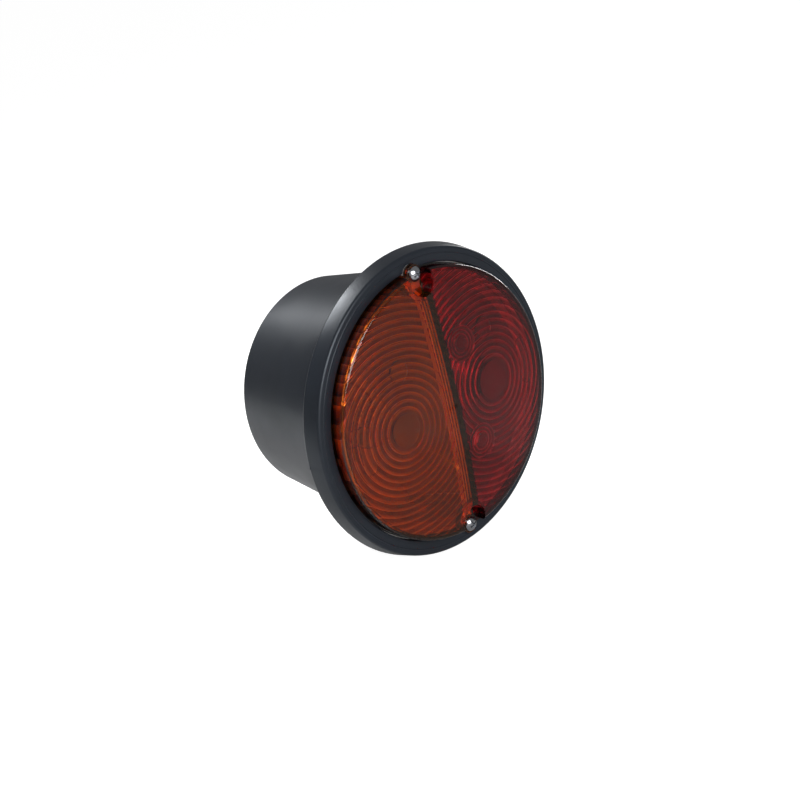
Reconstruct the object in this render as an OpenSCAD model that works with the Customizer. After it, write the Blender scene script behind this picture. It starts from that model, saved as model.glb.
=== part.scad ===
/* [Housing] */
// Depth of the moulded rubber housing, from its mounting face to the front of its rim
housing_depth = 84.4; // [82:0.2:92]
// Rubber outside the groove at the rim's front edge
rim_wall = 4.9; // [4:0.1:7]
// Amount that the rim widens from its front edge to its back edge
rim_taper = 1.5; // [0.5:0.1:2.5]
// Thickness of the rim along the lamp's axis
rim_t = 10.2; // [9:0.2:12]
// Radius of the rounding on the rim's edges
rim_round = 1.6; // [0.8:0.1:2]
// Distance of the cup's outside within the lens's edge, where the cup meets the rim
cup_inset = 2.7; // [1.5:0.1:3.5]
// Amount that the cup narrows from the rim to the mounting face
cup_taper = 9.3; // [6:0.1:12]
// Wall thickness of the cup
cup_wall = 3.6; // [2.6:0.1:4]
// Thickness of the housing's back wall
back_wall = 4.5; // [3:0.5:6]
// Radius of the rounding at the cup's back edge
back_round = 2.5; // [1:0.5:4]
// Thickness of the shoulder that carries the lamp base
shoulder_t = 3.6; // [3:0.1:4]
// Gap between the lens skirt and the rim's opening
lens_gap = 0.9; // [0.6:0.1:1.5]
// Reach of the groove for the base's flange, from the rim's opening
groove_reach = 2.6; // [2:0.1:3.5]
// Height of the fine bead that runs round the rim's face
bead_h = 0.2; // [0.2:0.1:0.6]

/* [Cable inlet] */
// Bore radius of the moulded cable nipple
cable_bore_r = 4; // [3:0.5:5]
// Wall of the cable nipple
nipple_wall = 2.5; // [2:0.5:4]
// Length of the nipple behind the mounting face
nipple_length = 11; // [8:1:16]
// Distance of the nipple below the lamp's axis
nipple_drop = 30; // [24:1:34]

/* [Fixing studs] */
// Shank radius of a fixing stud
stud_r = 3; // [2.5:0.5:4]
// Distance between the two studs
stud_spacing = 50; // [40:1:60]
// Length of a stud behind the mounting face
stud_reach = 18; // [12:1:25]
// Radius of a stud's head
stud_head_r = 6; // [5:0.5:8]
// Thickness of a stud's head
stud_head_t = 2; // [1.5:0.5:2.5]
// Gap between the steel backing plate and the cup's wall
plate_gap = 9.4; // [6:0.1:12]
// Thickness of the steel backing plate
plate_t = 1.5; // [1:0.1:2]

/* [Lamp base] */
// Thickness of the base's flange
base_flange_t = 2.4; // [2:0.1:3]
// Gap between the dish and the cup's wall
dish_gap = 1.4; // [1:0.1:2]
// Wall thickness of the base
base_wall = 2; // [1.5:0.1:2.4]
// Distance from the mounting face to the back of the dish's floor
floor_height = 38; // [36:0.5:40]
// Thickness of the dish's floor
floor_t = 2.5; // [2:0.1:3]
// Gap between the lens skirt and the upstand that centres it
upstand_gap = 1.3; // [1:0.1:1.8]
// Height of that upstand above the flange
upstand_h = 3.6; // [2:0.1:3.8]
// Thickness of the sheet that parts the two colours
divider_t = 1.5; // [1:0.1:2]

/* [Lens] */
// Outer radius of the lens skirt
lens_r = 66.5; // [66:0.1:66.9]
// Distance that the skirt's shoulder stands in front of the rim
lens_edge_stand = 6.7; // [6:0.1:8]
// Rise of the lens face from its edge to its middle
dome_rise = 3.7; // [3:0.1:5]
// Wall thickness of the lens face
lens_t = 3.2; // [2.8:0.1:4]
// Wall thickness of the skirt
skirt_t = 2.2; // [1.8:0.1:2.4]
// Radius of the rounding between skirt and face
lens_round = 2.5; // [1.5:0.1:3]
// Thickness of the gasket under the skirt
gasket_t = 2; // [1.5:0.1:2.5]
// Place of the joint between the amber and the red half, from the middle
seam_x = 3.3; // [2:0.1:4]
// Width of the plain fluted strip beside the joint
strip_w = 6.7; // [5:0.1:8]
// Thickness of each half's inner joint wall
joint_wall = 1.6; // [1.2:0.1:1.7]
// Number of flutes in the strip
flute_count = 3; // [2:1:4]

/* [Rings] */
// Distance of the two large bull's-eyes from the middle
eye_x = 29.8; // [28:0.1:31]
// Radius of the plain disc in the amber bull's-eye
amber_disc_r = 8; // [7.8:0.1:8.4]
// Radius of the plain disc in the red bull's-eye
red_disc_r = 9.6; // [9.4:0.1:10]
// Distance from one large ring to the next
ring_pitch = 3.4; // [3.3:0.1:3.5]
// Depth of a large ring
ring_depth = 1.1; // [0.8:0.1:1.4]
// Sideways place of the two small bull's-eyes
small_eye_x = 14.3; // [14:0.1:15.5]
// Height of the small bull's-eyes above and below the middle
small_eye_z = 25.5; // [25:0.1:28]
// Radius of the plain dot in a small bull's-eye
small_dot_r = 3; // [2.6:0.1:3.2]
// Number of rings in a small bull's-eye
small_ring_count = 3; // [2:1:3]
// Distance from one small ring to the next
small_pitch = 1.9; // [1.6:0.1:1.9]
// Depth of a small ring
small_depth = 0.7; // [0.5:0.1:1]

/* [Lens screws] */
// Distance of the lens screws within the lens's edge
screw_inset = 0.8; // [0.5:0.1:1.5]
// Shank radius of a lens screw
screw_r = 2; // [1.5:0.1:2.2]
// Head radius of a lens screw
screw_head_r = 3.6; // [3.2:0.1:4]
// Head height of a lens screw
screw_head_t = 2.5; // [2:0.1:3]
// Thickness of the lens ear under the head
ear_t = 2.5; // [2:0.1:3]
// Half the width of the pocket round the head
pocket_r = 7; // [6:0.1:7.5]
// Distance of the middle of the pocket's round end within the screw's
pocket_inset = 3.7; // [2.7:0.1:4.7]
// Outer radius of the brass insert
insert_r = 2.9; // [2.6:0.1:3.2]
// Length of the brass insert
insert_length = 5.8; // [4:0.1:5.9]

/* [Bulbs and holders] */
// Radius of a bulb's metal cap
cap_r = 7.5; // [7.3:0.1:7.6]
// Length of a bulb's metal cap
cap_length = 17; // [15:0.5:18]
// Distance of a cap's end behind the dish's floor
cap_drop = 10.5; // [9:0.5:11]
// Wall thickness of a holder's barrel
barrel_wall = 0.6; // [0.4:0.1:0.8]
// Radius of a holder's flange
holder_flange_r = 10; // [9.4:0.1:10.1]
// Thickness of a holder's flange
holder_flange_t = 0.8; // [0.6:0.1:1.2]
// Glass radius of the two large bulbs
large_glass_r = 12.9; // [11:0.1:13.2]
// Length of a large bulb from its cap's end to the top of its glass
large_bulb_length = 49; // [44:0.5:50]
// Glass radius of the two small bulbs
small_glass_r = 8.9; // [8:0.1:9.3]
// Length of a small bulb from its cap's end to the top of its glass
small_bulb_length = 35.5; // [33:0.5:38]
// Wall thickness of the bulb glass
glass_wall = 0.7; // [0.5:0.1:1]

/* [Contacts] */
// Distance of the terminal board's back behind a cap's end
board_drop = 7.5; // [7:0.5:8.5]
// Thickness of the terminal board
board_t = 2; // [1.5:0.1:2.4]
// Gap between the terminal board and the cup's wall
board_gap = 4.4; // [3:0.1:6]
// Thickness of the contact strip
strip_t = 0.6; // [0.4:0.1:0.8]
// Width of a contact strip and its blade
blade_w = 6.3; // [4.8:0.1:6.5]
// Thickness of a folded blade
blade_t = 0.8; // [0.6:0.1:1]
// Gap between the ends of the blades and the backing plate
blade_gap = 5; // [4:0.5:7]
// Thickness of the earth plate
earth_t = 1; // [0.8:0.1:1.2]

/* [Hidden] */
$fn = 96;

// Clearance between pieces that slide together
slide_gap = 0.1;
// Clearance between moulded pieces that only pass each other
free_gap = 0.3;
// Overrun of a cut past the face that it opens
cut = 1;

// Levels along the axis, measured forwards from the mounting face
rim_back_level = housing_depth - rim_t;
shoulder_level = rim_back_level + shoulder_t;
flange_level = shoulder_level + base_flange_t;
upstand_level = flange_level + upstand_h;
skirt_level = flange_level + gasket_t;
ear_level = housing_depth;
pocket_level = ear_level + ear_t;
edge_level = housing_depth + lens_edge_stand;
floor_level = floor_height + floor_t;
plate_level = back_wall + plate_t;
cap_height = floor_height - cap_drop;
board_height = cap_height - board_drop;
board_level = board_height + board_t;
blade_end_level = plate_level + blade_gap;
holder_level = floor_level + holder_flange_t;
barrel_back_level = board_level + strip_t + 2 * free_gap;

neck_r = stud_r + 1;

// Radii from the lens outwards, and from the cup's wall inwards
opening_r = lens_r + lens_gap;
base_flange_r = opening_r + groove_reach;
rim_front_r = base_flange_r + slide_gap + rim_wall;
rim_back_r = rim_front_r + rim_taper;
cup_front_r = lens_r - cup_inset;
cup_back_r = cup_front_r - cup_taper;
function cup_inner_r(level) = cup_back_r + cup_taper * level / rim_back_level - cup_wall;
plate_r = cup_inner_r(back_wall) - plate_gap;
board_r = cup_inner_r(board_height) - board_gap;
dish_floor_r = cup_inner_r(floor_height) - dish_gap;
dish_front_r = cup_inner_r(rim_back_level) - dish_gap;
upstand_r = lens_r - skirt_t - upstand_gap - base_wall;
screw_z = lens_r - screw_inset;
pocket_z = screw_z - pocket_inset;

// A bulb's cap: its floor, side pins, and end contact
cap_floor_t = 4;
pin_r = 1;
pin_reach = 1.1;
pin_rise = 6.8;
pin_level = cap_height + pin_rise;
pin_turn = 24;
contact_r = 2.3;
contact_level = cap_height - 1.5;

// The lens face is part of a sphere through its edge and its middle
dome_edge_r = lens_r - lens_round;
dome_r = (pow(dome_edge_r, 2) + pow(dome_rise, 2)) / (2 * dome_rise);
dome_level = edge_level + dome_rise - dome_r;
inner_dome_r = dome_r - lens_t;
// First step of a ring's saw-tooth, up from the plain face
ring_step = 0.25;
// Plain land between one ring and the next
ring_land = 0.4;
small_eye_r = small_dot_r + small_ring_count * small_pitch + free_gap;
inner_skirt_r = lens_r - skirt_t;
ring_field_r = inner_skirt_r - 0.5;
pocket_wall_r = pocket_r + 2;
post_r = insert_r + 1.3;
ear_r = screw_head_r + 1;
screw_crown_r = 4.4;
strip_left_x = seam_x - strip_w;
flute_depth = 0.9;

// Pads without rings: middle, half width, half height
round_pad_r = 5;
round_pads = [[-26, 28], [31, 27]];
oval_pad_inset = 12.9;
oval_pad_x = lens_r - oval_pad_inset;
oval_pad = [3.6, 12];

barrel_r = cap_r + slide_gap + barrel_wall;
holder_places = [[-eye_x, 0], [eye_x, 0], [small_eye_x, small_eye_z], [small_eye_x, -small_eye_z]];
// Turn of each contact strip, so that its blade stands clear of the others
contact_turns = [0, 180, 180, 180];
blade_offset = 16;
slot_gap = 0.3;
board_post_r = 3.5;
board_screw_r = 1.5;
board_screw_depth = 8;
board_screw_head_r = 3;
board_screw_head_t = 1.8;
board_post_places = [[-16, 30], [-16, -30], [28, 19]];
earth_blade_place = [-4, 12];

// Turns the axis of the pieces to the front of the row, with the lens facing -Y
module face_front() {
    rotate([90, 0, 0]) children();
}

module at_height(level) {
    translate([0, 0, level]) children();
}

module at_both_screws() {
    for (side = [0, 1])
        mirror([0, side, 0]) translate([0, screw_z, 0]) children();
}

module tube_between(outer_r, inner_r, low, high) {
    at_height(low) difference() {
        cylinder(r = outer_r, h = high - low);
        at_height(-cut) cylinder(r = inner_r, h = high - low + 2 * cut);
    }
}

// Outline of the housing's half section, with rounded rim and back edge
module housing_outline() {
    side_lean = rim_taper / rim_t;
    difference() {
        union() {
            polygon([[0, 0], [cup_back_r - back_round, 0], [cup_back_r, back_round],
                [cup_front_r, rim_back_level], [cup_front_r, housing_depth - rim_t / 2],
                [0, housing_depth - rim_t / 2]]);
            translate([cup_back_r - back_round, back_round]) circle(r = back_round);
            polygon([[0, rim_back_level], [rim_back_r - rim_round, rim_back_level],
                [rim_back_r - side_lean * rim_round, rim_back_level + rim_round],
                [rim_front_r + side_lean * rim_round, housing_depth - rim_round],
                [rim_front_r - rim_round, housing_depth], [0, housing_depth]]);
            translate([rim_back_r - rim_round - side_lean * rim_round, rim_back_level + rim_round])
                circle(r = rim_round);
            translate([rim_front_r - rim_round + side_lean * rim_round, housing_depth - rim_round])
                circle(r = rim_round);
            translate([rim_front_r - 2 * rim_round, housing_depth - bead_h])
                circle(r = 2 * bead_h);
        }
        translate([-rim_back_r, -cut]) square([rim_back_r, housing_depth + 2 * cut]);
    }
}

// The hollow of the housing: cup, groove for the base's flange and opening round the lens
module housing_hollow() {
    inner_front_r = cup_inner_r(rim_back_level);
    polygon([[0, back_wall], [cup_inner_r(back_wall), back_wall],
        [inner_front_r, rim_back_level], [inner_front_r, shoulder_level],
        [base_flange_r + slide_gap, shoulder_level], [base_flange_r + slide_gap, flange_level],
        [opening_r, flange_level], [opening_r, housing_depth + cut], [0, housing_depth + cut]]);
}

module rubber_housing() {
    rib_turn = -150;
    rib_w = 4;
    rib_reach = 3;
    color([0.13, 0.14, 0.16]) face_front() difference() {
        union() {
            difference() {
                rotate_extrude() housing_outline();
                rotate_extrude() housing_hollow();
            }
            // Cable nipple, moulded with the back wall
            translate([0, -nipple_drop, -nipple_length])
                cylinder(r = cable_bore_r + nipple_wall, h = nipple_length + back_wall / 2);
            // Locating rib in the corner behind the rim
            rotate(rib_turn) translate([cup_front_r - cup_wall / 2, -rib_w / 2, rim_back_level - rib_reach])
                cube([cup_wall / 2 + rib_reach, rib_w, rib_reach + shoulder_t / 2]);
        }
        translate([0, -nipple_drop, -nipple_length - cut])
            cylinder(r = cable_bore_r, h = nipple_length + back_wall + 2 * cut);
        for (side = [-1, 1])
            translate([side * stud_spacing / 2, 0, -cut])
                cylinder(r = neck_r + slide_gap, h = back_wall + 2 * cut);
        at_both_screws() at_height(flange_level)
            cylinder(r = ear_r + free_gap, h = rim_t);
    }
}

module backing_plate() {
    color([0.72, 0.73, 0.75]) face_front() at_height(back_wall) difference() {
        cylinder(r = plate_r, h = plate_t);
        translate([0, -nipple_drop, -cut])
            cylinder(r = cable_bore_r + nipple_wall, h = plate_t + 2 * cut);
        for (side = [-1, 1])
            translate([side * stud_spacing / 2, 0, -cut])
                cylinder(r = neck_r + slide_gap, h = plate_t + 2 * cut);
    }
}

module fixing_stud(side) {
    chamfer = 0.8;
    color([0.78, 0.78, 0.8]) face_front() translate([side * stud_spacing / 2, 0, 0]) {
        at_height(chamfer - stud_reach)
            cylinder(r = stud_r, h = stud_reach - chamfer + back_wall / 2);
        at_height(-stud_reach) cylinder(r1 = stud_r - chamfer, r2 = stud_r, h = chamfer);
        // Wider neck through the back wall and the plate
        cylinder(r = neck_r, h = plate_level + stud_head_t / 2);
        at_height(plate_level) cylinder(r = stud_head_r, h = stud_head_t);
    }
}

// Half section of the moulded base: dish, flange and upstand
module base_outline() {
    polygon([[0, floor_height], [dish_floor_r, floor_height], [dish_front_r, shoulder_level],
        [base_flange_r, shoulder_level], [base_flange_r, flange_level],
        [upstand_r + base_wall, flange_level], [upstand_r + base_wall, upstand_level],
        [upstand_r, upstand_level], [upstand_r, flange_level],
        [dish_front_r - base_wall, flange_level],
        [dish_front_r - base_wall, shoulder_level], [dish_floor_r - base_wall, floor_level],
        [0, floor_level]]);
}

module lamp_base() {
    rib_w = 1.5;
    rib_reach = 3;
    color([0.1, 0.1, 0.11]) face_front() difference() {
        union() {
            rotate_extrude() base_outline();
            at_both_screws() at_height(shoulder_level) cylinder(r = post_r, h = ear_level - shoulder_level);
            for (place = board_post_places)
                translate([place[0], place[1], board_level])
                    cylinder(r = board_post_r, h = floor_height - board_level + floor_t / 2);
            // Ribs that guide the two edges of the divider
            for (side = [0, 1], face = [-1, 1])
                mirror([0, side, 0])
                    translate([seam_x + face * (divider_t / 2 + slide_gap + rib_w / 2) - rib_w / 2,
                        dish_floor_r - base_wall - rib_reach, floor_height + floor_t / 2])
                        cube([rib_w, rib_reach + base_wall / 2, shoulder_level - floor_height - floor_t / 2]);
        }
        for (place = holder_places)
            translate([place[0], place[1], floor_height - cut])
                cylinder(r = barrel_r + slide_gap, h = floor_t + 2 * cut);
        at_both_screws() at_height(ear_level - insert_length)
            cylinder(r = insert_r, h = insert_length + cut);
        for (place = board_post_places)
            translate([place[0], place[1], board_level - cut])
                cylinder(r = board_screw_r, h = board_screw_depth + cut);
    }
}

module light_divider() {
    shoulder_step = 4;
    foot = dish_floor_r - base_wall - free_gap;
    head = dish_front_r - base_wall - free_gap;
    color([0.82, 0.82, 0.8]) face_front()
        translate([seam_x - divider_t / 2, 0, 0]) rotate([90, 0, 90])
            linear_extrude(divider_t)
                polygon([[-foot, floor_level], [foot, floor_level], [head, shoulder_level],
                    [head - shoulder_step, ear_level - free_gap],
                    [shoulder_step - head, ear_level - free_gap],
                    [-head, shoulder_level]]);
}

module lens_gasket() {
    color([0.2, 0.2, 0.2]) face_front() difference() {
        tube_between(lens_r + free_gap, upstand_r + base_wall + free_gap, flange_level, skirt_level);
        at_both_screws() at_height(flange_level - cut)
            cylinder(r = post_r + free_gap, h = gasket_t + 2 * cut);
    }
}

// Half section of the whole lens, filled, from the skirt's edge to the domed face
module lens_envelope() {
    difference() {
        union() {
            intersection() {
                translate([0, dome_level]) circle(r = dome_r, $fn = 720);
                translate([0, skirt_level]) square([dome_edge_r, edge_level + dome_rise]);
            }
            translate([0, skirt_level]) square([lens_r, edge_level - lens_round - skirt_level]);
            translate([dome_edge_r, edge_level - lens_round]) circle(r = lens_round);
        }
        translate([-lens_r, 0]) square([lens_r, 2 * housing_depth]);
    }
}

// U-shaped plan of a screw pocket, open outwards
module pocket_plan(half_w) {
    for (side = [0, 1])
        mirror([0, side]) {
            translate([0, pocket_z]) circle(r = half_w);
            translate([-half_w, pocket_z]) square([2 * half_w, lens_r]);
        }
}

// Points the axis of a ring pattern through the dome's centre, over a place on the face
module over_eye(place) {
    reach = norm(place);
    at_height(dome_level) rotate([0, 0, atan2(place[1], place[0])])
        rotate([0, asin(reach / inner_dome_r), 0]) children();
}

// Height of the inner face over the dome's centre, at a distance from the pattern's axis
function face_height(r) = sqrt(pow(inner_dome_r, 2) - pow(r, 2));

// Everything in front of one saw-tooth's slope, about an axis through the dome's centre
module tooth_lid(place, low_r, pitch, depth) {
    rise = depth - ring_step;
    foot_level = face_height(low_r) + ring_step - rise;
    over_eye(place) rotate_extrude()
        polygon([[0, foot_level], [low_r - pitch, foot_level], [low_r + 2 * pitch, foot_level + 3 * rise],
            [low_r + 2 * pitch, 2 * inner_dome_r], [0, 2 * inner_dome_r]]);
}

// Saw-tooth rings for the inner face, kept to the plan given as child: each slopes outwards
// from a low step to its full depth and ends in an upright wall
module ring_teeth(place, first_r, pitch, depth, count) {
    for (i = [0:count - 1])
        difference() {
            at_height(ear_level) linear_extrude(2 * lens_edge_stand) intersection() {
                translate(place) difference() {
                    circle(r = first_r + (i + 1) * pitch - ring_land);
                    circle(r = first_r + i * pitch);
                }
                children();
            }
            tooth_lid(place, first_r + i * pitch, pitch, depth);
        }
}

module oval(size) {
    for (end = [-1, 1])
        translate([0, end * (size[1] - size[0])]) circle(r = size[0]);
    translate([-size[0], size[0] - size[1]]) square([2 * size[0], 2 * (size[1] - size[0])]);
}

// Plan of the hollow behind one half, inside its skirt and clear of its pockets
module hollow_plan(side) {
    edge = side < 0 ? seam_x - joint_wall - lens_r - eye_x : seam_x + joint_wall;
    difference() {
        intersection() {
            circle(r = inner_skirt_r);
            translate([edge, -lens_r]) square([lens_r + eye_x, 2 * lens_r]);
        }
        pocket_plan(pocket_wall_r);
    }
}

// Plan of the places where the face stays plain inside
module plain_plan(side) {
    translate(round_pads[side < 0 ? 0 : 1]) circle(r = round_pad_r);
    translate([side * oval_pad_x, 0]) oval(oval_pad);
    if (side < 0)
        translate([strip_left_x, -lens_r]) square([strip_w, 2 * lens_r]);
    else
        for (end = [-1, 1])
            translate([small_eye_x, end * small_eye_z]) circle(r = small_eye_r);
}

// Hollow of one half under its plain dome
module lens_hollow(side) {
    intersection() {
        at_height(skirt_level - cut) linear_extrude(3 * lens_edge_stand) hollow_plan(side);
        at_height(dome_level) sphere(r = inner_dome_r, $fn = 720);
    }
}

// Plan of the face that carries large rings
module ring_plan(side) {
    difference() {
        intersection() {
            hollow_plan(side);
            circle(r = ring_field_r);
        }
        plain_plan(side);
    }
}

function ring_count(disc_r) = ceil((norm([eye_x, ring_field_r]) - disc_r) / ring_pitch);

// Flutes along the joint, each a wedge bent round the dome's centre
module strip_flutes() {
    flute_w = (strip_w - joint_wall) / flute_count;
    flute_land = 0.15;
    intersection() {
        at_height(dome_level) rotate([0, 90, 0]) rotate_extrude($fn = 720)
            for (i = [0:flute_count - 1])
                polygon([[inner_dome_r - free_gap, strip_left_x + i * flute_w + flute_land],
                    [inner_dome_r + flute_depth, strip_left_x + (i + 0.5) * flute_w],
                    [inner_dome_r - free_gap, strip_left_x + (i + 1) * flute_w]]);
        at_height(ear_level) linear_extrude(2 * lens_edge_stand) difference() {
            circle(r = ring_field_r);
            pocket_plan(pocket_wall_r + free_gap);
        }
    }
}

// The whole lens as a block: filled envelope with its ears, less the pockets and screw holes
module lens_block() {
    difference() {
        union() {
            rotate_extrude() lens_envelope();
            at_both_screws() at_height(ear_level) cylinder(r = ear_r, h = ear_t);
        }
        at_height(pocket_level) linear_extrude(2 * lens_edge_stand) pocket_plan(pocket_r);
        at_both_screws() at_height(ear_level - cut) cylinder(r = screw_r + 0.2, h = ear_t + 2 * cut);
        // Room under the ears and the joint wall, down to the gasket
        at_height(skirt_level - cut) linear_extrude(ear_level - skirt_level + cut) base_side_plan();
    }
}

// Plan of what is open below the level of the ears: all inside the skirt, and the posts
module base_side_plan() {
    circle(r = inner_skirt_r);
    for (end = [-1, 1])
        translate([0, end * screw_z]) circle(r = post_r + free_gap);
}

module lens_half(side, disc_r) {
    difference() {
        intersection() {
            lens_block();
            translate([side < 0 ? seam_x - 3 * lens_r : seam_x, -2 * lens_r, 0])
                cube([3 * lens_r, 4 * lens_r, 2 * housing_depth]);
        }
        lens_hollow(side);
        ring_teeth([side * eye_x, 0], disc_r, ring_pitch, ring_depth, ring_count(disc_r)) ring_plan(side);
    }
}

module amber_lens_half() {
    lug = [1.2, 4, 5];
    color([0.95, 0.42, 0.05, 0.8]) face_front() {
        difference() {
            lens_half(-1, amber_disc_r);
            strip_flutes();
        }
        // Small locating lug on the skirt
        translate([-lens_r - lug[0] / 2, -lug[1] / 2, skirt_level]) cube(lug);
    }
}

module red_lens_half() {
    color([0.75, 0.03, 0.05, 0.8]) face_front() difference() {
        lens_half(1, red_disc_r);
        for (end = [-1, 1])
            ring_teeth([small_eye_x, end * small_eye_z], small_dot_r, small_pitch, small_depth,
                small_ring_count) hollow_plan(1);
    }
}

module lens_screw(side) {
    recess = [4.2, 0.9, 1.4];
    color([0.8, 0.81, 0.83]) face_front() translate([0, side * screw_z, pocket_level]) difference() {
        union() {
            rotate_extrude() intersection() {
                square([screw_head_r, screw_head_t]);
                translate([0, screw_head_t - screw_crown_r]) circle(r = screw_crown_r);
            }
            at_height(-ear_t - insert_length + free_gap)
                cylinder(r = screw_r, h = ear_t + insert_length - free_gap + screw_head_t / 2);
        }
        // Cross recess
        for (turn = [20, 110])
            rotate(turn) translate([-recess[0] / 2, -recess[1] / 2, screw_head_t - recess[2]])
                cube([recess[0], recess[1], recess[2] + cut]);
    }
}

module screw_insert(side) {
    color([0.8, 0.65, 0.3]) face_front() translate([0, side * screw_z, 0])
        tube_between(insert_r, screw_r + 0.05, ear_level - insert_length, ear_level);
}

// Bulb holder: flanged barrel with two bayonet slots
module bulb_holder(i) {
    slot_w = 2 * (pin_r + slide_gap * 2);
    slot_start = cap_r - 1;
    slot_reach = 4;
    leg_w = slot_start * sin(pin_turn);
    seat_dip = 0.4;
    color([0.75, 0.75, 0.77]) face_front() translate([holder_places[i][0], holder_places[i][1], 0])
        difference() {
            union() {
                at_height(barrel_back_level) cylinder(r = barrel_r, h = holder_level - barrel_back_level);
                at_height(floor_level) cylinder(r = holder_flange_r, h = holder_level - floor_level);
            }
            at_height(barrel_back_level - cut)
                cylinder(r = cap_r + slide_gap, h = holder_level - barrel_back_level + 2 * cut);
            for (half = [0, 180]) rotate(half) {
                translate([slot_start, -slot_w / 2, pin_level - slot_w / 2])
                    cube([slot_reach, slot_w, holder_level]);
                // The leg that the pin turns into
                rotate(pin_turn) translate([slot_start, -leg_w, pin_level - slot_w / 2 - seat_dip])
                    cube([slot_reach, leg_w + slot_w / 2, slot_w + seat_dip]);
            }
        }
}

function bulb_is_large(i) = i < 2;
function bulb_glass_r(i) = bulb_is_large(i) ? large_glass_r : small_glass_r;
function bulb_length(i) = bulb_is_large(i) ? large_bulb_length : small_bulb_length;

// Half section of a bulb's glass, drawn smaller by inset to give its hollow
module glass_outline(i, inset) {
    neck_r = cap_r - 2 * free_gap;
    ball_level = bulb_length(i) - bulb_glass_r(i);
    difference() {
        union() {
            translate([0, ball_level]) circle(r = bulb_glass_r(i) - inset);
            translate([0, cap_floor_t + inset])
                square([neck_r - inset, ball_level - cap_floor_t - inset]);
        }
        translate([-large_glass_r, 0]) square([large_glass_r, large_bulb_length]);
    }
}

module bulb_glass(i) {
    color([0.9, 0.92, 0.95, 0.5]) face_front()
        translate([holder_places[i][0], holder_places[i][1], cap_height]) difference() {
            rotate_extrude() glass_outline(i, 0);
            rotate_extrude() glass_outline(i, glass_wall);
        }
}

module bulb_cap(i) {
    cap_wall = 0.5;
    color([0.78, 0.66, 0.36]) face_front()
        translate([holder_places[i][0], holder_places[i][1], cap_height]) {
            difference() {
                cylinder(r = cap_r, h = cap_length);
                at_height(cap_floor_t) cylinder(r = cap_r - cap_wall, h = cap_length);
            }
            at_height(contact_level - cap_height)
                cylinder(r = contact_r, h = cap_height - contact_level + cap_floor_t / 2);
            rotate(pin_turn) for (half = [0, 180])
                rotate(half) translate([cap_r - cap_wall / 2, 0, pin_level - cap_height])
                    rotate([0, 90, 0]) cylinder(r = pin_r, h = cap_wall / 2 + pin_reach);
        }
}

// Filament on its two support wires, standing on the bottom of the glass
module filament(i) {
    wire_r = 0.35;
    large_half_span = 4;
    small_half_span = 2.5;
    half_span = bulb_is_large(i) ? large_half_span : small_half_span;
    foot = cap_floor_t + glass_wall;
    top = bulb_length(i) - bulb_glass_r(i);
    color([0.55, 0.55, 0.56]) face_front()
        translate([holder_places[i][0], holder_places[i][1], cap_height]) {
            for (side = [-1, 1])
                translate([side * half_span, 0, foot]) cylinder(r = wire_r, h = top - foot);
            translate([-half_span - wire_r, 0, top]) rotate([0, 90, 0])
                cylinder(r = 2 * wire_r, h = 2 * half_span + 2 * wire_r);
        }
}

// One bent strip: sprung leaf under the bulb, foot on the board, blade behind it
module contact(i) {
    leaf = contact_level - strip_t;
    leaf_w = blade_w - free_gap;
    foot_x = 5.4;
    top_x = 1.2;
    tip_x = 4;
    tip_drop = 1.1;
    bend = 0.2;
    color([0.82, 0.68, 0.34]) face_front()
        translate([holder_places[i][0], holder_places[i][1], 0]) rotate(contact_turns[i])
            translate([0, leaf_w / 2, 0]) rotate([90, 0, 0]) linear_extrude(leaf_w)
                polygon([[blade_offset, board_level], [foot_x, board_level], [top_x, leaf], [-top_x, leaf],
                    [-tip_x, leaf - tip_drop], [-tip_x - bend, contact_level - tip_drop],
                    [-top_x - bend, contact_level], [top_x + bend, contact_level],
                    [foot_x + strip_t / 2, board_level + strip_t],
                    [blade_offset + blade_t, board_level + strip_t],
                    [blade_offset + blade_t, blade_end_level],
                    [blade_offset, blade_end_level]]);
}

module earth_plate() {
    bar_w = 8;
    ring_w = 2.5;
    color([0.74, 0.74, 0.76]) face_front() {
        at_height(floor_height - earth_t) linear_extrude(earth_t) difference() {
            union() {
                for (place = holder_places) translate(place) circle(r = barrel_r + ring_w);
                translate([-eye_x, -bar_w / 2]) square([2 * eye_x, bar_w]);
                translate([small_eye_x - bar_w / 2, -small_eye_z]) square([bar_w, 2 * small_eye_z]);
                translate([earth_blade_place[0] - blade_w / 2, 0])
                    square([blade_w, earth_blade_place[1] + blade_t / 2]);
            }
            for (place = holder_places) translate(place) circle(r = barrel_r + slide_gap / 2);
        }
        translate([earth_blade_place[0] - blade_w / 2, earth_blade_place[1] - blade_t / 2,
            blade_end_level])
            cube([blade_w, blade_t, floor_height - earth_t / 2 - blade_end_level]);
    }
}

module terminal_board() {
    color([0.45, 0.28, 0.14]) face_front() at_height(board_height) difference() {
        cylinder(r = board_r, h = board_t);
        for (place = board_post_places)
            translate([place[0], place[1], -cut])
                cylinder(r = board_screw_r + slide_gap, h = board_t + 2 * cut);
        for (i = [0:3])
            translate([holder_places[i][0], holder_places[i][1], -cut]) rotate(contact_turns[i])
                translate([blade_offset - slot_gap, -blade_w / 2 - slot_gap, 0])
                    cube([blade_t + 2 * slot_gap, blade_w + 2 * slot_gap, board_t + 2 * cut]);
        translate([earth_blade_place[0] - blade_w / 2 - slot_gap,
            earth_blade_place[1] - blade_t / 2 - slot_gap, -cut])
            cube([blade_w + 2 * slot_gap, blade_t + 2 * slot_gap, board_t + 2 * cut]);
    }
}

module board_screws() {
    color([0.7, 0.7, 0.72]) face_front() for (place = board_post_places)
        translate([place[0], place[1], board_height]) {
            at_height(-board_screw_head_t)
                cylinder(r = board_screw_head_r, h = board_screw_head_t);
            at_height(-board_screw_head_t / 2)
                cylinder(r = board_screw_r - slide_gap / 2,
                    h = board_screw_head_t / 2 + board_t + board_screw_depth - free_gap);
        }
}

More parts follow.
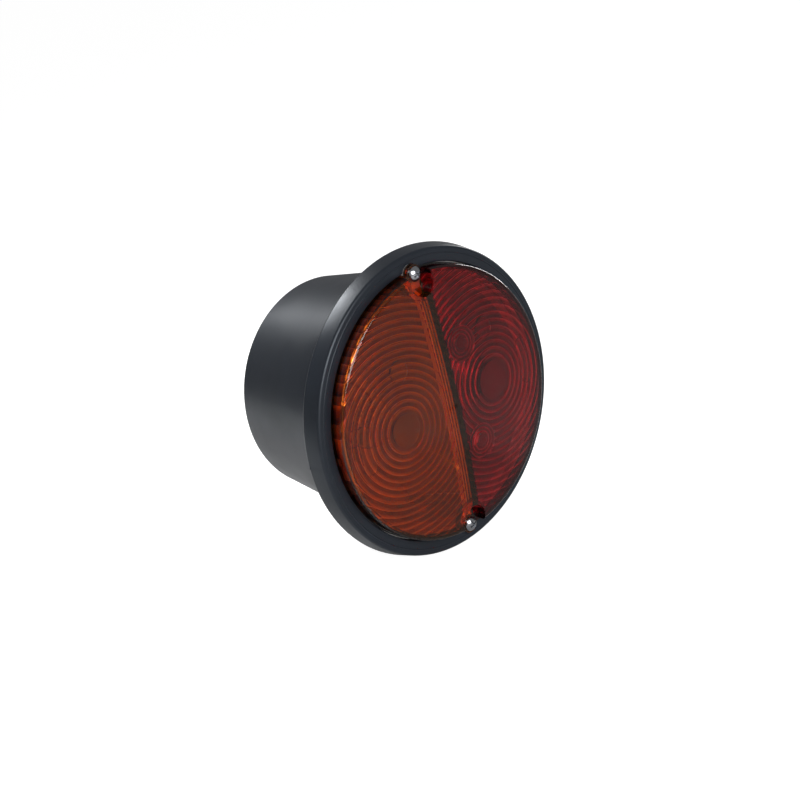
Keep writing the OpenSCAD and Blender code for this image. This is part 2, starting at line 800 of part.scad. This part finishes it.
rubber_housing();
backing_plate();
fixing_stud(-1);  // left_fixing_stud
fixing_stud(1);  // right_fixing_stud
lamp_base();
light_divider();
lens_gasket();
amber_lens_half();
red_lens_half();
lens_screw(1);  // top_lens_screw
lens_screw(-1);  // bottom_lens_screw
screw_insert(1);  // top_screw_insert
screw_insert(-1);  // bottom_screw_insert
bulb_holder(0);  // indicator_holder
bulb_holder(1);  // stop_holder
bulb_holder(2);  // upper_tail_holder
bulb_holder(3);  // lower_tail_holder
bulb_glass(0);  // indicator_bulb_glass
bulb_glass(1);  // stop_bulb_glass
bulb_glass(2);  // upper_tail_bulb_glass
bulb_glass(3);  // lower_tail_bulb_glass
bulb_cap(0);  // indicator_bulb_cap
bulb_cap(1);  // stop_bulb_cap
bulb_cap(2);  // upper_tail_bulb_cap
bulb_cap(3);  // lower_tail_bulb_cap
filament(0);  // indicator_filament
filament(1);  // stop_filament
filament(2);  // upper_tail_filament
filament(3);  // lower_tail_filament
contact(0);  // indicator_contact
contact(1);  // stop_contact
contact(2);  // upper_tail_contact
contact(3);  // lower_tail_contact
earth_plate();
terminal_board();
board_screws();
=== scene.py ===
import math

import bpy
from mathutils import Matrix, Vector


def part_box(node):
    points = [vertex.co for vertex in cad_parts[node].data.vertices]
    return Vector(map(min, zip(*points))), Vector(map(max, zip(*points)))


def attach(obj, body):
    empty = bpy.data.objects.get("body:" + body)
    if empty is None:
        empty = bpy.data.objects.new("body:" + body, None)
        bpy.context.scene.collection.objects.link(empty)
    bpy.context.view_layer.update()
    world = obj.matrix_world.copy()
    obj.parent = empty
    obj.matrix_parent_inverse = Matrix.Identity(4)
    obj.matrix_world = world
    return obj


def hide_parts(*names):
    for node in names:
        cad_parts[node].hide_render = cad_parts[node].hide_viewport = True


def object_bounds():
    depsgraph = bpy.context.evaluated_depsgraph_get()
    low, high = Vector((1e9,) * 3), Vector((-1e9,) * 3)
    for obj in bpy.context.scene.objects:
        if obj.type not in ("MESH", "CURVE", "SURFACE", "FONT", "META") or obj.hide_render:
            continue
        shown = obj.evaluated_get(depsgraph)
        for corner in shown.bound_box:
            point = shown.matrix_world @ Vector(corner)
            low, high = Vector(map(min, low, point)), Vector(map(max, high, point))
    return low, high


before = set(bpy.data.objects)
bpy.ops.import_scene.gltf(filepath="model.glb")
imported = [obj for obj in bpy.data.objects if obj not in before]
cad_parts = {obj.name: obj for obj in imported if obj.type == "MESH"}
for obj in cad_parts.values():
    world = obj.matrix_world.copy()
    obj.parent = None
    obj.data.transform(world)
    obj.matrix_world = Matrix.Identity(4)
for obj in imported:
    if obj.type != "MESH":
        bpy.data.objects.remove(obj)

bl_info = {
    "name": "Tail Light Cluster",
    "version": (1, 0, 0),
    "blender": (4, 5, 0),
    "location": "3D View > Sidebar > Tail Light",
    "description": "Dresses a round two-colour tail light: rubber housing, ringed lens, bulbs and fixings",
    "category": "Object",
}

CAD_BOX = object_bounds()
MM = 0.001
HOUSING_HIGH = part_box("rubber_housing")[1]
NIPPLE_BACK = HOUSING_HIGH.y
LENS_LOW, LENS_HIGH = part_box("red_lens_half")
STUD_LOW, STUD_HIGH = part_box("right_fixing_stud")

LENS_T = 3.2 * MM
DOME_RISE = 3.7 * MM
DOME_EDGE_R = LENS_HIGH.x - 1.5 * MM
DOME_R = (DOME_EDGE_R ** 2 + DOME_RISE ** 2) / (2 * DOME_RISE)
EYE_X = 29.8 * MM
AMBER_DISC_R, RED_DISC_R = 8 * MM, 9.6 * MM
RING_PITCH = 3.4 * MM
RING_LAND = 0.4 * MM
SMALL_EYE_X, SMALL_EYE_Z = 14.3 * MM, 25.5 * MM
SMALL_DOT_R, SMALL_PITCH, SMALL_EYE_R = 3 * MM, 1.9 * MM, 8.8 * MM
STRIP_W = 6 * MM
# Share of the lens colour painted at the foot of each ring tooth, as painted shade
PAINTED_TOOTH_SHADE = 0.16
DEPTH_DENSITY = 150

FLOOR_SIZE = 12
FLOOR_GLOW = 0.9
WORLD_LEVEL = 0.18
MIRROR_SHARE = 0.05
CAMERA_PLACE = (-0.43631, -0.60041, 0.27251)
CAMERA_TURN = (67.914, 12.366, -43.641)
CAMERA_LENS = 68.56

BULBS = ("indicator", "stop", "upper_tail", "lower_tail")
FIXINGS = ("earth_plate", "board_screws", "backing_plate", "left_fixing_stud", "right_fixing_stud")
ROUND_STEPS = 192
SEAM_GAP = 2e-6
SMOOTH_ANGLE = math.radians(32)


class LampSizes(bpy.types.PropertyGroup):
    rim_front_radius: bpy.props.FloatProperty(
        name="Rim front radius", description="Radius of the rubber rim at its front edge",
        default=75 * MM, min=0.07, max=0.08, unit="LENGTH", subtype="DISTANCE")
    rim_back_radius: bpy.props.FloatProperty(
        name="Rim back radius", description="Radius of the rubber rim at its back edge",
        default=HOUSING_HIGH.x, min=0.07, max=0.09, unit="LENGTH", subtype="DISTANCE")
    rim_thickness: bpy.props.FloatProperty(
        name="Rim thickness", description="Thickness of the rim along the lamp's axis",
        default=10.2 * MM, min=0.008, max=0.014, unit="LENGTH", subtype="DISTANCE")
    housing_depth: bpy.props.FloatProperty(
        name="Housing depth", description="From the mounting face to the front of the rim",
        default=84.4 * MM, min=0.07, max=0.1, unit="LENGTH", subtype="DISTANCE")
    cup_front_radius: bpy.props.FloatProperty(
        name="Cup front radius", description="Outer radius of the cup where it meets the rim",
        default=63.8 * MM, min=0.05, max=0.07, unit="LENGTH", subtype="DISTANCE")
    cup_back_radius: bpy.props.FloatProperty(
        name="Cup back radius", description="Outer radius of the cup at the mounting face",
        default=54.5 * MM, min=0.04, max=0.06, unit="LENGTH", subtype="DISTANCE")


class LampColours(bpy.types.PropertyGroup):
    rubber: bpy.props.FloatVectorProperty(
        name="Rubber", description="Colour of the moulded rubber housing",
        default=(0.013, 0.016, 0.022), size=3, subtype="COLOR", min=0, max=1)
    amber: bpy.props.FloatVectorProperty(
        name="Amber", description="Colour of the amber lens plastic at its surface",
        default=(1.0, 0.31, 0.04), size=3, subtype="COLOR", min=0, max=1)
    amber_depth: bpy.props.FloatVectorProperty(
        name="Amber depth", description="Colour that the amber plastic keeps in its thickness",
        default=(0.98, 0.5, 0.02), size=3, subtype="COLOR", min=0, max=1)
    red: bpy.props.FloatVectorProperty(
        name="Red", description="Colour of the red lens plastic at its surface",
        default=(0.95, 0.07, 0.09), size=3, subtype="COLOR", min=0, max=1)
    red_depth: bpy.props.FloatVectorProperty(
        name="Red depth", description="Colour that the red plastic keeps in its thickness",
        default=(0.9, 0.25, 0.28), size=3, subtype="COLOR", min=0, max=1)
    base: bpy.props.FloatVectorProperty(
        name="Base", description="Colour of the moulded lamp base",
        default=(0.68, 0.67, 0.65), size=3, subtype="COLOR", min=0, max=1)
    brass: bpy.props.FloatVectorProperty(
        name="Brass", description="Colour of the bulb caps and contacts",
        default=(0.72, 0.56, 0.28), size=3, subtype="COLOR", min=0, max=1)
    steel: bpy.props.FloatVectorProperty(
        name="Plated steel", description="Colour of zinc-plated screws and holders",
        default=(0.66, 0.68, 0.72), size=3, subtype="COLOR", min=0, max=1)


def clear_selection():
    if bpy.context.mode != "OBJECT":
        bpy.ops.object.mode_set(mode="OBJECT")
    bpy.ops.object.select_all(action="DESELECT")


def make_active(obj):
    clear_selection()
    obj.select_set(True)
    bpy.context.view_layer.objects.active = obj


def apply_modifier(obj, kind, **settings):
    make_active(obj)
    modifier = obj.modifiers.new(kind.title(), kind)
    for name, value in settings.items():
        setattr(modifier, name, value)
    bpy.ops.object.modifier_apply(modifier=modifier.name)


def cut_away(obj, cutter, operation="DIFFERENCE"):
    apply_modifier(obj, "BOOLEAN", operation=operation, solver="EXACT", object=cutter)
    bpy.data.objects.remove(cutter)


def place_applied(obj):
    make_active(obj)
    bpy.ops.object.transform_apply(location=True, rotation=True, scale=True)
    return obj


def rounded(centre, radius, start, end, steps):
    """Points of an arc in a half section, from one angle to another in degrees"""
    angles = [math.radians(start + (end - start) * i / steps) for i in range(steps + 1)]
    return [(centre[0] + radius * math.cos(a), centre[1] + radius * math.sin(a)) for a in angles]


def turned(name, section):
    """A shape turned about the lamp's axis. The section holds radius and height above the
    mounting face; the lens side is at negative Y."""
    clear_selection()
    first = section[0]
    bpy.ops.mesh.primitive_plane_add(size=MM, location=(first[0], -first[1], 0))
    obj = bpy.context.object
    obj.name = name
    place_applied(obj)
    bpy.ops.object.mode_set(mode="EDIT")
    bpy.ops.mesh.select_all(action="SELECT")
    bpy.ops.mesh.merge(type="CENTER")
    for before, after in zip(section, section[1:]):
        step = (after[0] - before[0], before[1] - after[1], 0)
        bpy.ops.mesh.extrude_region_move(TRANSFORM_OT_translate={"value": step})
    bpy.ops.mesh.select_all(action="SELECT")
    bpy.ops.mesh.spin(steps=ROUND_STEPS, angle=2 * math.pi, center=(0, 0, 0), axis=(0, 1, 0))
    bpy.ops.mesh.select_all(action="SELECT")
    bpy.ops.mesh.remove_doubles(threshold=SEAM_GAP)
    bpy.ops.mesh.normals_make_consistent(inside=False)
    bpy.ops.object.mode_set(mode="OBJECT")
    return obj


def rod(radius, low, high, x=0.0, z=0.0):
    """A cylinder along Y between two heights above the mounting face"""
    clear_selection()
    bpy.ops.mesh.primitive_cylinder_add(
        vertices=64, radius=radius, depth=high - low,
        location=(x, -(low + high) / 2, z), rotation=(math.pi / 2, 0, 0))
    return place_applied(bpy.context.object)


def smooth(obj):
    make_active(obj)
    bpy.ops.object.shade_smooth_by_angle(angle=SMOOTH_ANGLE)


def ride_and_dress(obj, material):
    obj.data.materials.clear()
    obj.data.materials.append(material)
    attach(obj, "root")


def dress_node(node, material):
    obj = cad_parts[node]
    obj.data.materials.clear()
    obj.data.materials.append(material)


class Finish:
    """A node material under construction, read from Object coordinates. A name that was used
    before gives back the finished material."""

    made = {}

    def __init__(self, name):
        self.is_new = name not in Finish.made
        if self.is_new:
            Finish.made[name] = bpy.data.materials.new(name)
        self.material = Finish.made[name]
        self.material.use_nodes = True
        self.tree = self.material.node_tree
        self.shader = self.tree.nodes["Principled BSDF"]
        if self.is_new:
            self.place = self.tree.nodes.new("ShaderNodeTexCoord").outputs["Object"]

    def set(self, **values):
        for name, value in values.items():
            socket = self.shader.inputs[name.replace("_", " ")]
            socket.default_value = (*value, 1) if hasattr(value, "__len__") else value

    def noise(self, scale, detail=4.0, roughness=0.5, distortion=0.0):
        node = self.tree.nodes.new("ShaderNodeTexNoise")
        node.inputs["Scale"].default_value = scale
        node.inputs["Detail"].default_value = detail
        node.inputs["Roughness"].default_value = roughness
        node.inputs["Distortion"].default_value = distortion
        self.tree.links.new(self.place, node.inputs["Vector"])
        return node.outputs["Fac"]

    def spread(self, value, low, high, start=0.3, end=0.7):
        node = self.tree.nodes.new("ShaderNodeMapRange")
        for name, number in (("From Min", start), ("From Max", end), ("To Min", low), ("To Max", high)):
            node.inputs[name].default_value = number
        self.tree.links.new(value, node.inputs["Value"])
        return node.outputs["Result"]

    def blend(self, value, dark, light, start=0.3, end=0.7):
        node = self.tree.nodes.new("ShaderNodeValToRGB")
        ramp = node.color_ramp.elements
        ramp[0].position, ramp[1].position = start, end
        ramp[0].color, ramp[1].color = (*dark, 1), (*light, 1)
        self.tree.links.new(value, node.inputs["Fac"])
        return node.outputs["Color"]

    def calc(self, operation, first, second=0.0):
        node = self.tree.nodes.new("ShaderNodeMath")
        node.operation = operation
        for socket, value in zip(node.inputs, (first, second)):
            if hasattr(value, "is_linked"):
                self.tree.links.new(value, socket)
            else:
                socket.default_value = value
        return node.outputs[0]

    def reach(self, *lengths):
        """Length of a vector, from its parts"""
        total = self.calc("POWER", lengths[0], 2)
        for length in lengths[1:]:
            total = self.calc("ADD", total, self.calc("POWER", length, 2))
        return self.calc("SQRT", total)

    def teeth(self, radius, first_r, pitch, land):
        """Rises from 0 to 1 along each ring's saw-tooth, and is 0 inside the first one"""
        along = self.calc("FRACT", self.calc("DIVIDE", self.calc("SUBTRACT", radius, first_r), pitch))
        foot = 0.45
        rise = self.spread(along, 0, 1, foot, 1 - land / pitch)
        return self.calc("MULTIPLY", rise, self.calc("GREATER_THAN", radius, first_r))

    def to(self, output, name):
        self.tree.links.new(output, self.shader.inputs[name])

    def absorb(self, tint, density):
        node = self.tree.nodes.new("ShaderNodeVolumeAbsorption")
        node.inputs["Color"].default_value = (*tint, 1)
        node.inputs["Density"].default_value = density
        self.tree.links.new(node.outputs["Volume"], self.tree.nodes["Material Output"].inputs["Volume"])

    def bump(self, height, strength, distance):
        node = self.tree.nodes.new("ShaderNodeBump")
        node.inputs["Strength"].default_value = strength
        node.inputs["Distance"].default_value = distance
        self.tree.links.new(height, node.inputs["Height"])
        self.tree.links.new(node.outputs["Normal"], self.shader.inputs["Normal"])


def shade(colour, factor):
    return tuple(min(1.0, c * factor) for c in colour)


def rubber_finish():
    finish = Finish("moulded_rubber")
    if finish.is_new:
        colour = tuple(bpy.context.scene.lamp_colours.rubber)
        finish.set(Metallic=0.0, Specular_IOR_Level=0.42, Specular_Tint=(0.85, 0.92, 1.0))
        cloud = finish.noise(26, 3, 0.55, 0.4)
        grain = finish.noise(1400, 3, 0.6)
        finish.to(finish.blend(cloud, shade(colour, 0.82), shade(colour, 1.25)), "Base Color")
        finish.to(finish.spread(cloud, 0.40, 0.28), "Roughness")
        finish.bump(grain, 0.10, 0.00004)
    return finish.material


def painted_ring_shade(finish, side, disc_r):
    """Mask for painted shade: one on the lens's front face, and on the inner face the rise of each ring's
    tooth, so that the colour is painted darker towards each tooth's foot
    """
    parts = finish.tree.nodes.new("ShaderNodeSeparateXYZ")
    finish.tree.links.new(finish.place, parts.inputs["Vector"])
    x, y, z = (parts.outputs[axis] for axis in "XYZ")
    painted_shade_mask = finish.teeth(
        finish.reach(finish.calc("SUBTRACT", x, side * EYE_X), z), disc_r, RING_PITCH, RING_LAND)
    if side > 0:
        height = finish.calc("SUBTRACT", finish.calc("ABSOLUTE", z), SMALL_EYE_Z)
        small_r = finish.reach(finish.calc("SUBTRACT", x, SMALL_EYE_X), height)
        small = finish.teeth(small_r, SMALL_DOT_R, SMALL_PITCH, RING_LAND)
        large_share = finish.calc("GREATER_THAN", small_r, SMALL_EYE_R)
        small = finish.calc("MULTIPLY", small, finish.calc("SUBTRACT", 1.0, large_share))
        painted_shade_mask = finish.calc("ADD", finish.calc("MULTIPLY", painted_shade_mask, large_share), small)
    else:
        painted_shade_mask = finish.calc("MAXIMUM", painted_shade_mask, finish.calc("GREATER_THAN", x, -STRIP_W))
    over_centre = finish.reach(x, z, finish.calc("SUBTRACT", y, LENS_LOW.y + DOME_R))
    front = finish.calc("GREATER_THAN", over_centre, DOME_R - LENS_T / 4)
    return finish.calc("MAXIMUM", painted_shade_mask, front)


def lens_finish(name, colour, depth_tint, side, disc_r):
    """Clear tinted plastic, which darkens with the length of the light's way through it"""
    finish = Finish(name)
    if finish.is_new:
        finish.set(Transmission_Weight=0.985, IOR=1.44, Specular_IOR_Level=0.2)
        painted_shade_mask = painted_ring_shade(finish, side, disc_r)
        # Painted shade: the base colour darkens towards the foot of each ring tooth, standing in for the
        # light and shade seen through the teeth
        finish.to(finish.blend(painted_shade_mask, shade(colour, PAINTED_TOOTH_SHADE), colour, 0, 1), "Base Color")
        finish.absorb(depth_tint, DEPTH_DENSITY)
        haze = finish.noise(60, 4, 0.6)
        finish.to(finish.spread(haze, 0.015, 0.04), "Roughness")
        ripple = finish.noise(220, 2, 0.5)
        finish.bump(ripple, 0.05, 0.00002)
    return finish.material


def moulded_finish(name, colour, low=0.4, high=0.55):
    finish = Finish(name)
    if finish.is_new:
        grain = finish.noise(900, 3, 0.6)
        cloud = finish.noise(40, 3, 0.5)
        finish.to(finish.blend(cloud, shade(colour, 0.9), shade(colour, 1.1)), "Base Color")
        finish.to(finish.spread(cloud, low, high), "Roughness")
        finish.bump(grain, 0.12, 0.00003)
    return finish.material


def metal_finish(name, colour, low=0.22, high=0.38):
    finish = Finish(name)
    if finish.is_new:
        finish.set(Metallic=1.0)
        tarnish = finish.noise(120, 4, 0.6)
        grain = finish.noise(1600, 3, 0.5)
        finish.to(finish.blend(tarnish, shade(colour, 0.82), shade(colour, 1.05)), "Base Color")
        finish.to(finish.spread(tarnish, low, high), "Roughness")
        finish.bump(grain, 0.08, 0.00002)
    return finish.material


def glass_finish():
    finish = Finish("bulb_glass")
    if finish.is_new:
        finish.set(Base_Color=(0.96, 0.97, 0.98), Transmission_Weight=1.0, IOR=1.5)
        ripple = finish.noise(90, 2, 0.5)
        finish.to(finish.spread(ripple, 0.0, 0.03), "Roughness")
        finish.bump(ripple, 0.05, 0.0001)
    return finish.material


class LAMP_OT_housing(bpy.types.Operator):
    """Turn the rubber housing with its rim, cup, groove and cable nipple"""
    bl_idname = "lamp.housing"
    bl_label = "Rubber Housing"

    def execute(self, context):
        sizes = context.scene.lamp_sizes
        depth = sizes.housing_depth
        rim_back = depth - sizes.rim_thickness
        edge = 1.6 * MM
        fillet = 1.2 * MM
        back_round = 2.5 * MM
        wall = 3.6 * MM
        floor = 4.5 * MM
        shoulder = rim_back + 3.6 * MM
        flange = shoulder + 2.4 * MM
        groove = 70.1 * MM
        opening = 67.4 * MM
        lip = 0.5 * MM
        lean = (sizes.cup_front_radius - sizes.cup_back_radius) / rim_back
        inner_back = sizes.cup_back_radius + lean * floor - wall
        inner_front = sizes.cup_front_radius - wall
        bead_r = sizes.rim_front_radius - 2 * edge
        bead = 0.4 * MM
        section = [(0.0, 0.0)]
        section += rounded((sizes.cup_back_radius - back_round, back_round), back_round, -90, 0, 8)
        section += rounded((sizes.cup_front_radius + fillet, rim_back - fillet), fillet, 180, 90, 6)
        section += rounded((sizes.rim_back_radius - edge, rim_back + edge), edge, -90, 8, 8)
        section += rounded((sizes.rim_front_radius - edge, depth - edge), edge, 8, 90, 8)
        section += rounded((bead_r, depth - bead / 2), bead, 30, 150, 6)
        section += rounded((opening + lip, depth - lip), lip, 90, 180, 4)
        section += [(opening, flange), (groove, flange), (groove, shoulder), (inner_front, shoulder)]
        section += [(inner_front, rim_back), (inner_back, floor), (0.0, floor)]
        housing = turned("rubber_housing_moulding", section)
        nipple_r = 6.5 * MM
        bore_r = 4 * MM
        drop = -30 * MM
        clearance = 2 * MM
        stud_x = (STUD_LOW.x + STUD_HIGH.x) / 2
        stud_hole_r = 4.1 * MM
        screw_z = 65.7 * MM
        ear_hole_r = 4.9 * MM
        cut_away(housing, rod(nipple_r, -NIPPLE_BACK, floor / 2, z=drop), "UNION")
        cut_away(housing, rod(bore_r, -NIPPLE_BACK - clearance, floor + clearance, z=drop))
        for x in (-stud_x, stud_x):
            cut_away(housing, rod(stud_hole_r, -clearance, floor + clearance, x=x))
        for z in (screw_z, -screw_z):
            cut_away(housing, rod(ear_hole_r, flange, depth + clearance, z=z))
        cut_away(housing, self.locating_rib(sizes.cup_front_radius, rim_back, shoulder), "UNION")
        cut_away(housing, self.moulding_nick(sizes.rim_back_radius, rim_back))
        smooth(housing)
        ride_and_dress(housing, rubber_finish())
        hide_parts("rubber_housing")
        return {"FINISHED"}

    def moulding_nick(self, rim_r, rim_back):
        """A small nick in the rim's back edge, at the left"""
        nick_r = 1.3 * MM
        inwards = 0.2 * MM
        forwards = 0.9 * MM
        clear_selection()
        bpy.ops.mesh.primitive_ico_sphere_add(
            subdivisions=3, radius=nick_r, scale=(1, 0.8, 1.3),
            location=(inwards - rim_r, -rim_back - forwards, 0))
        return place_applied(bpy.context.object)

    def locating_rib(self, cup_r, rim_back, shoulder):
        """A small block in the corner behind the rim, at the lower left"""
        turn = math.radians(-150)
        root = 1.8 * MM
        inner = cup_r - root
        reach = 3 * MM
        width = 4 * MM
        size = (root + reach, (shoulder - rim_back) / 2 + reach, width)
        clear_selection()
        bpy.ops.mesh.primitive_cube_add(
            size=1, scale=size,
            location=(inner + size[0] / 2, reach - rim_back - size[1] / 2, 0))
        rib = place_applied(bpy.context.object)
        rib.matrix_world = Matrix.Rotation(-turn, 4, "Y")
        return place_applied(rib)


class LAMP_OT_lens(bpy.types.Operator):
    """Dress the two ringed lens halves and the gasket"""
    bl_idname = "lamp.lens"
    bl_label = "Lens Halves"

    def execute(self, context):
        colours = context.scene.lamp_colours
        dress_node("amber_lens_half", lens_finish(
            "amber_acrylic", tuple(colours.amber), tuple(colours.amber_depth), -1, AMBER_DISC_R))
        dress_node("red_lens_half", lens_finish(
            "red_acrylic", tuple(colours.red), tuple(colours.red_depth), 1, RED_DISC_R))
        dress_node("lens_gasket", moulded_finish("foam_gasket", (0.03, 0.03, 0.03), 0.8, 0.95))
        return {"FINISHED"}


class LAMP_OT_screws(bpy.types.Operator):
    """Dress the lens screws and their brass inserts"""
    bl_idname = "lamp.screws"
    bl_label = "Lens Screws"

    def execute(self, context):
        colours = context.scene.lamp_colours
        zinc = metal_finish("bright_zinc", shade(tuple(colours.steel), 0.75), 0.10, 0.2)
        brass = metal_finish("insert_brass", tuple(colours.brass))
        for end in ("top", "bottom"):
            dress_node(f"{end}_lens_screw", zinc)
            dress_node(f"{end}_screw_insert", brass)
        return {"FINISHED"}


class LAMP_OT_bulbs(bpy.types.Operator):
    """Dress the four bulbs with their holders and contacts"""
    bl_idname = "lamp.bulbs"
    bl_label = "Bulbs and Holders"

    def execute(self, context):
        colours = context.scene.lamp_colours
        steel = metal_finish("plated_steel", tuple(colours.steel))
        brass = metal_finish("cap_brass", tuple(colours.brass))
        wire = metal_finish("filament_wire", (0.35, 0.35, 0.36))
        glass = glass_finish()
        for bulb in BULBS:
            dress_node(f"{bulb}_holder", steel)
            dress_node(f"{bulb}_bulb_cap", brass)
            dress_node(f"{bulb}_bulb_glass", glass)
            dress_node(f"{bulb}_filament", wire)
            dress_node(f"{bulb}_contact", brass)
        return {"FINISHED"}


class LAMP_OT_base(bpy.types.Operator):
    """Dress the lamp base, divider, terminal board and fixings"""
    bl_idname = "lamp.base"
    bl_label = "Base and Fixings"

    def execute(self, context):
        colours = context.scene.lamp_colours
        steel = metal_finish("plated_steel", tuple(colours.steel))
        dress_node("lamp_base", moulded_finish("base_plastic", tuple(colours.base)))
        dress_node("light_divider", moulded_finish("divider_sheet", (0.8, 0.8, 0.8)))
        dress_node("terminal_board", moulded_finish("board_laminate", (0.20, 0.10, 0.045)))
        for node in FIXINGS:
            dress_node(node, steel)
        return {"FINISHED"}


def softbox(name, place, target, size, power):
    clear_selection()
    direction = Vector(target) - Vector(place)
    bpy.ops.object.light_add(type="AREA", location=place)
    lamp = bpy.context.object
    lamp.name = name
    lamp.rotation_euler = direction.to_track_quat("-Z", "Y").to_euler()
    lamp.data.shape = "RECTANGLE"
    lamp.data.size, lamp.data.size_y = size
    lamp.data.energy = power
    return lamp


def seen_directly(tree):
    """One where the camera sees the surface itself, and a share of it for mirror and glass rays"""
    path = tree.nodes.new("ShaderNodeLightPath")
    total = path.outputs["Is Camera Ray"]
    for name in ("Is Glossy Ray", "Is Transmission Ray"):
        add = tree.nodes.new("ShaderNodeMath")
        add.operation = "MULTIPLY_ADD"
        add.inputs[1].default_value = MIRROR_SHARE
        tree.links.new(path.outputs[name], add.inputs[0])
        tree.links.new(total, add.inputs[2])
        total = add.outputs[0]
    return total


class LAMP_OT_stage(bpy.types.Operator):
    """Set the camera, floor and studio light"""
    bl_idname = "lamp.stage"
    bl_label = "Stage and Camera"

    def execute(self, context):
        scene = context.scene
        scene.view_settings.view_transform = "Standard"
        floor_z = CAD_BOX[0].z - 0.2 * MM
        clear_selection()
        bpy.ops.mesh.primitive_plane_add(size=FLOOR_SIZE, location=(0, 0, floor_z))
        floor = place_applied(context.object)
        floor.name = "studio_floor"
        paint = bpy.data.materials.new("studio_white")
        paint.use_nodes = True
        tree = paint.node_tree
        shader = tree.nodes["Principled BSDF"]
        shader.inputs["Base Color"].default_value = (0.5, 0.5, 0.5, 1)
        shader.inputs["Roughness"].default_value = 0.9
        shader.inputs["Specular IOR Level"].default_value = 0.0
        shader.inputs["Emission Color"].default_value = (1, 1, 1, 1)
        lift = tree.nodes.new("ShaderNodeMath")
        lift.operation = "MULTIPLY"
        lift.inputs[1].default_value = FLOOR_GLOW
        tree.links.new(seen_directly(tree), lift.inputs[0])
        tree.links.new(lift.outputs[0], shader.inputs["Emission Strength"])
        floor.data.materials.append(paint)

        world = bpy.data.worlds.new("studio")
        scene.world = world
        world.use_nodes = True
        tree = world.node_tree
        background = tree.nodes["Background"]
        background.inputs["Color"].default_value = (1, 1, 1, 1)
        strength = tree.nodes.new("ShaderNodeMapRange")
        strength.inputs["To Min"].default_value = WORLD_LEVEL
        strength.inputs["To Max"].default_value = 1.0
        tree.links.new(seen_directly(tree), strength.inputs["Value"])
        tree.links.new(strength.outputs["Result"], background.inputs["Strength"])

        middle = (0, -0.045, 0)
        behind = (-0.34, 0.26, floor_z)
        softbox("key_softbox", (-0.3, -1.1, 0.5), middle, (0.8, 0.7), 12)
        floor_light = softbox("floor_softbox", (-0.25, 0.85, 0.85), behind, (0.7, 0.5), 4)
        floor_light.data.spread = math.radians(50)
        softbox("right_strip", (0.9, 0.3, 0.05), middle, (0.2, 0.6), 4)

        clear_selection()
        bpy.ops.object.camera_add(
            location=CAMERA_PLACE, rotation=[math.radians(angle) for angle in CAMERA_TURN])
        camera = context.object
        camera.name = "photo_camera"
        camera.data.lens = CAMERA_LENS
        camera.data.sensor_width = 36
        camera.data.clip_start = 0.01
        camera.data.clip_end = 50
        scene.camera = camera
        return {"FINISHED"}


class LAMP_PT_panel(bpy.types.Panel):
    """Lists the steps that dress the tail light"""
    bl_idname = "LAMP_PT_panel"
    bl_label = "Tail Light"
    bl_space_type = "VIEW_3D"
    bl_region_type = "UI"
    bl_category = "Tail Light"

    def draw(self, context):
        layout = self.layout
        for group in (context.scene.lamp_sizes, context.scene.lamp_colours):
            for name in group.__annotations__:
                layout.prop(group, name)
        for step in STEPS:
            layout.operator(step.bl_idname)


STEPS = (LAMP_OT_stage, LAMP_OT_housing, LAMP_OT_lens, LAMP_OT_screws, LAMP_OT_bulbs, LAMP_OT_base)
CLASSES = (LampSizes, LampColours, *STEPS, LAMP_PT_panel)


def register():
    for cls in CLASSES:
        bpy.utils.register_class(cls)
    bpy.types.Scene.lamp_sizes = bpy.props.PointerProperty(type=LampSizes)
    bpy.types.Scene.lamp_colours = bpy.props.PointerProperty(type=LampColours)


def unregister():
    del bpy.types.Scene.lamp_colours
    del bpy.types.Scene.lamp_sizes
    for cls in reversed(CLASSES):
        bpy.utils.unregister_class(cls)


def main():
    register()
    bpy.ops.lamp.stage()
    bpy.ops.lamp.housing()
    bpy.ops.lamp.lens()
    bpy.ops.lamp.screws()
    bpy.ops.lamp.bulbs()
    bpy.ops.lamp.base()
    clear_selection()


if __name__ == "__main__":
    main()
